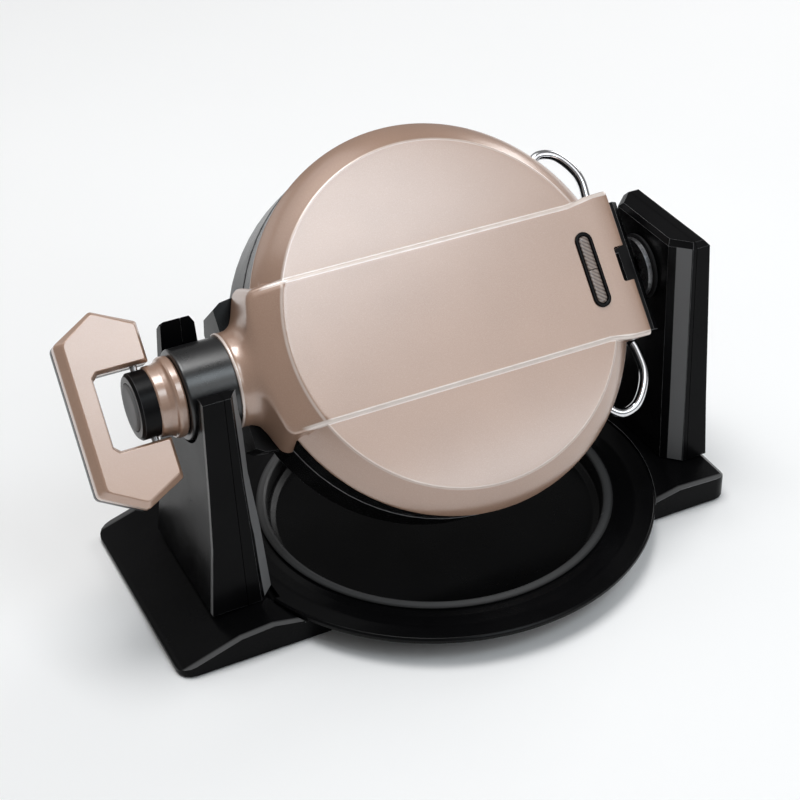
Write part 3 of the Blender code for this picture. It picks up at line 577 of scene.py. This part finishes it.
def band_section(x, shrink=0.0, grow=0.0):
    """The raised band's outline across X: base, side, rounded corner, top, and back down the other side."""
    base = monotone(THROAT_BASE, x) - shrink + grow
    top = monotone(THROAT_TOP, x) + 1.2 - shrink + grow
    square = monotone(THROAT_SQUARE, x)
    low = PARTING if x < -98.0 else EAR_LOW
    corner = BAND_CORNER
    corner_z = band_height(x, top) - shrink + grow
    half = []                 # each point, and the angle of the point on the arch that it turns into
    side_steps, corner_steps, top_steps = 12, 6, 26
    turn_from, turn_to = math.radians(57), math.radians(63)
    middle_z = band_height(x, 0.0) - shrink + grow
    for i in range(side_steps + 1):
        t = i / side_steps
        flat = (base + (top - base) * t, low + (corner_z - corner - low) * t)
        half.append((flat, turn_from * t))
    for i in range(1, corner_steps + 1):
        a = math.pi / 2 * i / corner_steps
        flat = (top - corner + corner * math.cos(a), corner_z - corner + corner * math.sin(a))
        half.append((flat, turn_from + (turn_to - turn_from) * i / corner_steps))
    for i in range(1, top_steps + 1):
        y = (top - corner) * (1 - i / top_steps)
        flat = (y, band_height(x, y) - shrink + grow)
        half.append((flat, turn_to + (math.pi / 2 - turn_to) * i / top_steps))
    points = []
    for (y, z), angle in half:
        arch = (base * math.cos(angle), low + (middle_z - low) * math.sin(angle))
        points.append((arch[0] + (y - arch[0]) * square, arch[1] + (z - arch[1]) * square))
    mirrored = [(-y, z) for y, z in reversed(points[:-1])]
    return [(x, y, z) for y, z in points + mirrored]


def band_stations():
    """(x, shrink, grow) of each section: a rolled lip at the neck, and a rounded end at the ear."""
    lip = [(-124.6, 0.4, 0.0), (-124.4, 0.0, 0.15), (-123.9, 0.0, 0.4), (-123.2, 0.0, 0.4),
           (-122.6, 0.0, 0.15), (-122.0, 0.0, 0.0), (-121.3, 0.0, 0.0)]
    throat = [(-120.5 + i, 0.0, 0.0) for i in range(36)]
    middle = [(-84.0 + 4 * i, 0.0, 0.0) for i in range(42)]
    ear = [(82.0 + 1.6 * i, 0.0, 0.0) for i in range(18)]
    end = [(110.0, 0.1, 0.0), (110.5, 0.35, 0.0), (110.85, 0.8, 0.0), (111.0, 1.4, 0.0)]
    return lip + throat + middle + ear + end


def lid_profile():
    """The round dome: crowned top, a firm turn at its edge, and a full shoulder down to the rim."""
    top = [(0.0, crown(0))] + [(r, crown(r)) for r in (16, 32, 48, 60, 72, 80, 86, 91, 94)]
    start, pull, end = (99.6, 33.6), (106.6, 27.4), (LID_R, 20.6)
    turn = rounded([(94.0, crown(94)), (LID_TOP_R + 0.4, LID_TOP_Z - 0.05), start], 1.6, 5, closed=False)
    shoulder = []
    for i in range(1, 13):
        t = i / 12
        shoulder.append(tuple(a * (1 - t) ** 2 + 2 * b * t * (1 - t) + c * t * t
                              for a, b, c in zip(start, pull, end)))
    rim = [(LID_R, LID_RIM_Z + 0.7), (LID_R - 0.25, LID_RIM_Z + 0.15), (LID_R - 0.7, LID_RIM_Z)]
    return top + turn[1:] + shoulder + rim + [(0.0, LID_RIM_Z)]


def build_lid():
    shell = finish_mesh("lid_cover", fall_away(lathe(lid_profile())), COOKER)
    inner = LID_R - LID_WALL
    hollow = lathe([
        (0, -3), (LID_R + 0.4, -3), (LID_R + 0.4, LID_RIM_Z - 0.5), (inner, LID_RIM_Z - 0.5),
        (inner - 1.2, LID_RIM_Z + 3), (LID_TOP_R - 0.6, LID_TOP_Z - LID_WALL - 1.6),
        (LID_TOP_R - 5, LID_TOP_Z - LID_WALL), (0, LID_TOP_Z - LID_WALL)])
    notch_plan = rounded([(103.8, -10.2), (116.0, -10.2), (116.0, 10.2), (103.8, 10.2)], [1.6, 0, 0, 1.6])
    notch = loft([[(x, y, z) for x, y in notch_plan] for z in (EAR_LOW - 3, LID_TOP_Z + 5)])
    slot = loft([[(x, y, z) for x, y in slot_outline(20.5, 4.2)] for z in (LID_TOP_Z - 6, LID_TOP_Z + 5)])
    neck = lathe([(0, -130), (NECK_R + 0.15, -130), (NECK_R + 0.15, -104), (0, -104)], SMALL_ROUND, "X")
    ear_room = box((88.0, EAR_END - LID_WALL), (-41.4 + LID_WALL, 41.4 - LID_WALL),
                   (EAR_LOW - 2, LID_TOP_Z - LID_WALL))
    combine(shell, COOKER, [("UNION", loft([band_section(*station) for station in band_stations()])),
                            ("DIFFERENCE", notch), ("DIFFERENCE", neck), ("DIFFERENCE", slot),
                            ("DIFFERENCE", ear_room), ("DIFFERENCE", hollow)])
    piece("lid_cover", shell, "lid", "copper_paint", ["lid_shell"], 32.0)
    shell.data.materials[0] = finishes["lid_paint"]


def build_indicator():
    """The dark slotted frame near the hinge and the two ribbed lamps that fill it."""
    low, high = LID_TOP_Z + BAND_RISE - 0.4, LID_TOP_Z + BAND_RISE + 1.3
    outer = [(0.0, low), (0.0, high - 0.7), (0.25, high - 0.2), (0.7, high)]
    inner = [(1.6, high), (2.0, high - 0.25), (2.2, high - 0.7), (2.2, low)]
    rings = [[(x, y, z) for x, y in slot_outline(22.0 - inset, 5.4 - inset)] for inset, z in outer + inner]
    bm = bmesh.new()
    loops = [[bm.verts.new(point) for point in ring] for ring in rings]
    for before, after in zip(loops, loops[1:] + loops[:1]):
        for i in range(len(before)):
            bm.faces.new((before[i - 1], before[i], after[i], after[i - 1]))
    piece("indicator_frame", finish_mesh("indicator_frame", bm, COOKER), "lid", "black_plastic",
          ["indicator_bezel"])
    for name, node, end in (("power_lens", "power_lamp", -1), ("ready_lens", "ready_lamp", 1)):
        steps = [(0.0, LID_TOP_Z - 1.5), (0.0, high - 1.0), (0.15, high - 0.75), (0.5, high - 0.55),
                 (1.2, high - 0.42), (2.0, high - 0.36)]
        rings = [[(x, y, z) for x, y in half_slot(19.6 - inset, 3.05 - inset, 0.15 + 0.3 * inset, end)]
                 for inset, z in steps]
        piece(name, finish_mesh(name, loft(rings), COOKER), "lid", "lamp_lens", [node])


# Handle end of the cooker ---------------------------------------------------------------------------------

def build_neck():
    drum = rounded([(9.0, -152.0), (NECK_R, -152.0), (NECK_R, -110.0), (9.0, -110.0)], [0, 1.6, 1.6, 0], 5)
    piece("neck_sleeve", finish_mesh("neck_sleeve", lathe(drum, SMALL_ROUND, "X"), COOKER), "cooker",
          "satin_black", ["neck_drum"])
    disc = rounded([(0.0, -166.4), (18.7, -166.4), (19.3, -165.6), (19.5, -161.0), (20.3, -158.4),
                    (21.6, -157.6), (22.2, -156.4), (22.2, -153.2), (21.4, -152.3), (0.0, -152.3)],
                   [0, 0.6, 0.8, 3, 2, 1.0, 1.2, 1.0, 0.8, 0], 4)
    piece("neck_disc", finish_mesh("neck_disc", lathe(disc, SMALL_ROUND, "X"), COOKER), "cooker",
          "copper_paint", ["neck_flange"])
    face = -176.6
    button = [(0.0, face - 0.75), (6.0, face - 0.85), (9.6, face - 1.15), (11.4, face - 1.2),
              (12.3, face - 0.95), (12.8, face - 0.4), (13.0, face + 0.3), (13.0, face + 1.1),
              (0.0, face + 1.1)]
    cap = finish_mesh("release_button", lathe(button, SMALL_ROUND, "X"), COOKER)
    piece("release_button", cap, "button", "grey_plastic", ["fold_button"])
    cap.data.materials[0] = finishes["button_plastic"]


def handle_ring(inset, z):
    """The handle's outline at one height, open at the neck end; its far sides are drawn in less."""
    left, right = HANDLE_X
    left, right = left + inset, right - 0.5 * inset
    rear, front, grown = 0.5 * inset, 0.8 * inset, 0.35 * inset
    window_left, corner = HANDLE_X[0] + 15.3, 20.6 + grown
    outline = [(left, 0.4 * front - 41), (left, 41 - 0.4 * rear), (-184.5, 54 - rear),
               (right, 43 - 0.8 * rear), (right, corner), (window_left + 3 - grown, corner),
               (window_left - grown, corner - 3), (window_left - grown, 3 - corner),
               (window_left + 3 - grown, -corner), (right, -corner), (right, 0.8 * front - 43),
               (-184.5, front - 54)]
    radii = [4, 4, 3, 2.4, 1.0, 1.2, 1.2, 1.2, 1.2, 1.0, 2.4, 3]
    return [(x, y, z) for x, y in rounded(outline, radii, 5)]


def build_handle():
    """The folding handle's painted cover and dark base, with soft edges all round."""
    pin = [(0, -29.6), (2.15, -29.6), (2.15, 29.6), (0, 29.6)]
    half, split = 9.5, -1.5
    for name, node, slot, low, high, chamfer, soft in (
            ("handle_cover", "handle_top_shell", "copper_paint", split + 0.15, half, 4.2, 2.4),
            ("handle_base", "handle_bottom_shell", "black_plastic", split - 0.15, -half, 2.4, 1.4)):
        step = math.copysign(chamfer, high)
        corners = [(0.3, low), (0, low + step * 0.1), (0, high - step), (chamfer, high), (12, high)]
        profile = rounded(corners, [0, 0.3, soft, soft, 0], 6, closed=False)
        shell = finish_mesh(name, loft([handle_ring(inset, z) for inset, z in profile[:-1]]), COOKER)
        combine(shell, COOKER, [("DIFFERENCE", lathe(pin, 24, "Y", (HANDLE_PIVOT_X, 0, 0)))])
        piece(name, shell, nodes[node]["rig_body"], slot, [node], 50.0)
        if slot == "copper_paint":
            shell.data.materials[0] = finishes["handle_paint"]


def catmull_rom(points, steps):
    path = [Vector(p) for p in points]
    padded = [2 * path[0] - path[1], *path, 2 * path[-1] - path[-2]]
    result = []
    for p0, p1, p2, p3 in zip(padded, padded[1:], padded[2:], padded[3:]):
        for i in range(steps):
            t = i / steps
            result.append(0.5 * (2 * p1 + (p2 - p0) * t + (2 * p0 - 5 * p1 + 4 * p2 - p3) * t * t
                                 + (3 * p1 - p0 - 3 * p2 + p3) * t ** 3))
    return result + [path[-1]]


def swept_wire(points, radius, sides=20):
    """A round wire along a path in one plane of constant Z, with domed ends."""
    path = catmull_rom(points, 10)
    up = Vector((0, 0, 1))
    turns = [math.tau * i / sides for i in range(sides)]
    rings = []
    count = len(path)
    for k, here in enumerate(path):
        ahead = (path[min(k + 1, count - 1)] - path[max(k - 1, 0)]).normalized()
        across = ahead.cross(up).normalized()
        size = radius * (0.82 if k in (0, count - 1) else 1.0)
        rings.append([here + (across * math.cos(a) + up * math.sin(a)) * size for a in turns])
    return loft(rings)


def build_wires():
    route = [(119.5, 0), (121, 6), (121.5, 18), (117.5, 28), (109.5, 36.5), (99.5, 38.5), (92, 33),
             (90.8, 26.5)]
    for side, end in (("front", -1), ("rear", 1)):
        points = [(x, end * (40.6 + y), -8.0) for x, y in route]
        wire = finish_mesh("latch_wire_" + side, swept_wire(points, 2.85), COOKER)
        piece("latch_wire_" + side, wire, "cooker", "chrome_wire", ["wire_loop_" + side], 60.0)


# Stand ----------------------------------------------------------------------------------------------------

def build_pan():
    outline = [(0, 1.8), (103.5, 1.8), (104.8, 3.2), (104.8, 13.5), (128.6, 13.5), (130.6, 14.6),
               (130.6, 16.8), (129.4, 17.7), (126.5, 17.2), (118, 15.9), (110.5, 16.4), (107, 17.0),
               (102.6, 17.0), (102.6, 4.4), (0, 4.4)]
    radii = [0, 1.0, 1.0, 1.0, 1.0, 0.9, 0.8, 0.9, 4, 12, 6, 2, 0.6, 1.5, 0]
    pan = finish_mesh("base_pan_moulding", lathe(rounded(outline, radii, 5)), STAND)
    combine(pan, STAND, [("DIFFERENCE", box((-175, -118.6), (-44.8, 44.8), (-5, 40)))])
    piece("base_pan_moulding", pan, "stand", "black_plastic", ["base_pan"])


def build_tray():
    outline = [(0, 4.8), (96, 4.8), (100.6, 7.0), (101.8, 17.3), (105.6, 17.4), (105.8, 18.4), (102, 19.2),
               (99.8, 18.2), (98.4, 8.6), (94.5, 6.5), (0, 6.5)]
    radii = [0, 2.0, 2.0, 0.6, 0.4, 0.4, 1.6, 1.6, 2.2, 2.6, 0]
    tray = finish_mesh("drip_tray_pressing", lathe(rounded(outline, radii, 5)), STAND)
    piece("drip_tray_pressing", tray, "tray", "satin_black", ["drip_tray"])
    tray.data.materials[0] = finishes["tray_coat"]


def build_gland():
    """Strain relief at the back, grooved so that it can bend."""
    outline = [(3.4, 33.0), (6.1, 33.0), (6.1, 43.5), (7.6, 43.5), (7.4, 46.2)]
    for i in range(5):
        y = 46.8 + 2.2 * i
        big = 6.7 - 0.42 * i
        outline += [(big, y), (big - 0.05, y + 1.0), (big - 1.0, y + 1.3), (big - 1.0, y + 1.9)]
    outline += [(4.6, 58.0), (3.4, 58.0)]
    low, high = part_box("cord_gland")
    centre = ((low.x + high.x) / 2 / MM, 0, (low.z + high.z) / 2 / MM)
    relief = finish_mesh("cord_relief", lathe(outline, 48, "Y", centre), Matrix.Scale(MM, 4))
    piece("cord_relief", relief, "stand", "rubber", ["cord_gland"])


# Pieces made from CAD nodes ------------------------------------------------------------------------------

def eased(node_name, piece_name, width, tools=(), smooth_angle=40.0):
    """Stand for a CAD node with a copy whose edges are rounded; the rounded faces are marked for a painted
    edge highlight.
    """
    node = nodes[node_name]
    body, slot = node["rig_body"], slot_of[node_name]
    copy = bpy.data.objects.new(piece_name, node.data.copy())
    bpy.context.collection.objects.link(copy)
    if tools:
        combine(copy, STAND, tools)
    copy.data.materials.append(None)
    weld = copy.modifiers.new("weld", "WELD")
    weld.merge_threshold = 0.000002
    bevel = copy.modifiers.new("bevel", "BEVEL")
    bevel.width, bevel.segments = width * MM, 3
    bevel.limit_method, bevel.angle_limit = "ANGLE", math.radians(24)
    bevel.material = 1
    settle(copy)
    mesh = copy.data
    seam = FLIP_AT.x + SEAMS[node_name.split("_")[0]] * MM if "tower" in node_name else math.inf
    # rounded faces, except along a tower's seam, are marked for the painted edge highlight
    marks = [float(bool(face.material_index) and abs(face.center.x - seam) > 0.0015)
             for face in mesh.polygons]
    edge_highlight = mesh.attributes.new("edge_highlight", "FLOAT", "FACE")
    edge_highlight.data.foreach_set("value", marks)
    mesh.polygons.foreach_set("material_index", [0] * len(mesh.polygons))
    if "custom_normal" in mesh.attributes:
        mesh.attributes.remove(mesh.attributes["custom_normal"])
    piece(piece_name, copy, body, slot, [node_name], smooth_angle)
    return copy


EASED = {                 # each CAD node's piece, how far its edges are rounded, and its own finish if any
    "left_tower_outer": ("left_tower_shell_outer", 1.2, "left_tower_plastic"),
    "left_tower_inner": ("left_tower_shell_inner", 1.2, "left_tower_plastic"),
    "right_tower_outer": ("right_tower_shell_outer", 1.2, "right_tower_plastic"),
    "right_tower_inner": ("right_tower_shell_inner", 1.2, "right_tower_plastic"),
    "left_foot": ("left_foot_moulding", 1.0, "foot_plastic"),
    "right_foot": ("right_foot_moulding", 1.0, "foot_plastic"),
    "hinge_block": ("hinge_bridge", 0.9, None),
    "lower_throat": ("lower_neck_socket", 0.6, None),
    "handle_barrel": ("grip_barrel", 0.6, "barrel_plastic"),
    "lower_housing": ("lower_casing", 0.8, None),
    "lid_ring": ("lid_skirt", 0.7, None),
}


def build_eased():
    """Round the edges of the CAD pieces in view, and the top of the left tower's rear arm."""
    for node_name, (piece_name, width, own_finish) in EASED.items():
        tools = []
        if "left_tower" in node_name:
            arch = [(-137.0, 168.4), (-134.6, 167.2), (-131.8, 164.4), (-129.4, 160.4), (-127.4, 155.0),
                    (-110.0, 155.0), (-110.0, 180.0), (-137.0, 180.0)]
            tools = [("DIFFERENCE", loft([[(x, y, z) for x, z in arch] for y in (2.0, 60.0)]))]
        made = eased(node_name, piece_name, width, tools)
        if own_finish:
            made.data.materials[0] = finishes[own_finish]


def dress_nodes():
    """Finish the CAD nodes that stay in view as they are, with smooth shading over their welded faces."""
    for name, node in nodes.items():
        node.material_slots[0].material = finishes[slot_of[name]]
        weld = node.modifiers.new("weld", "WELD")
        weld.merge_threshold = 0.000002
        normals = node.modifiers.new("normals", "WEIGHTED_NORMAL")
        normals.keep_sharp = True


# Stage ----------------------------------------------------------------------------------------------------

def build_floor():
    bm = bmesh.new()
    bmesh.ops.create_grid(bm, x_segments=2, y_segments=2, size=6.0)
    floor = finish_mesh("studio_floor", bm, Matrix.Identity(4))
    paper = Finish("studio_paper", {"Roughness": 0.9, "Specular IOR Level": 0.1})
    cloud = paper.spread(paper.noise(3.0), 0.0, 1.0)
    colour = paper.blend(cloud, (0.955, 0.955, 0.955), (0.970, 0.970, 0.970))
    floor.data.materials.append(paper.use(colour, None, paper.bump(paper.noise(900.0), 0.00002, 0.2)))


def area_light(name, direction, distance, size, power, colour=(1, 1, 1)):
    """A soft rectangular light aimed at the cooker from a direction."""
    light = bpy.data.lights.new(name, "AREA")
    light.shape, light.size, light.size_y = "RECTANGLE", size[0], size[1]
    light.energy, light.color = power, colour
    lamp = bpy.data.objects.new(name, light)
    bpy.context.collection.objects.link(lamp)
    toward = Vector(direction).normalized()
    lamp.location = FLIP_AT + toward * distance
    lamp.rotation_euler = (-toward).to_track_quat("-Z", "Y").to_euler()


def build_lights():
    area_light("key_softbox", (0.20, -0.54, 0.82), 1.8, (0.84, 0.56), 4.3, (0.80, 0.92, 1.0))
    area_light("wide_softbox", (0.34, -0.62, 0.70), 1.8, (1.15, 1.15), 4.35)
    area_light("low_softbox", (0.38, -0.80, 0.46), 1.9, (0.8, 0.25), 1.8, (0.85, 0.94, 1.0))
    area_light("back_left_softbox", (-0.50, 0.78, 0.45), 2.2, (1.2, 0.8), 1.6)
    area_light("back_right_softbox", (0.85, 0.42, 0.40), 2.2, (1.0, 0.8), 10.0)
    area_light("top_softbox", (-0.05, 0.15, 1.0), 2.0, (0.9, 0.9), 20.0)
    area_light("high_softbox", (-0.16, 0.35, 1.0), 2.6, (2.6, 2.6), 13.0)
    world = bpy.data.worlds.new("studio_world")
    world.use_nodes = True
    background = world.node_tree.nodes["Background"]
    background.inputs["Color"].default_value = (1.0, 1.0, 1.0, 1.0)
    background.inputs["Strength"].default_value = 0.20
    bpy.context.scene.world = world
    bpy.context.scene.view_settings.view_transform = "Standard"


def build_camera():
    """A long lens from the front left, looking down at the machine."""
    azimuth, elevation, roll = math.radians(-26.59), math.radians(33.6), math.radians(-0.79)
    distance, focal = 1.05212, 83.12
    target = Vector((FLIP_AT.x, 0.0, 0.1))
    forward = Vector((-math.sin(azimuth) * math.cos(elevation), math.cos(azimuth) * math.cos(elevation),
                      -math.sin(elevation)))
    level_right = forward.cross(Vector((0, 0, 1))).normalized()
    level_up = level_right.cross(forward).normalized()
    right = level_right * math.cos(roll) + level_up * math.sin(roll)
    up = level_up * math.cos(roll) - level_right * math.sin(roll)
    data = bpy.data.cameras.new("camera")
    data.sensor_width, data.lens = 36.0, focal
    data.shift_x, data.shift_y = -0.0410, -0.0292
    data.clip_start, data.clip_end = 0.01, 50.0
    camera = bpy.data.objects.new("camera", data)
    bpy.context.collection.objects.link(camera)
    axes = Matrix((right, up, -forward)).transposed().to_4x4()
    camera.matrix_world = Matrix.Translation(target - forward * distance) @ axes
    bpy.context.scene.camera = camera


dress_nodes()
build_eased()
build_lid()
build_indicator()
build_neck()
build_handle()
build_wires()
build_pan()
build_tray()
build_gland()
build_floor()
build_lights()
build_camera()
bpy.context.view_layer.update()
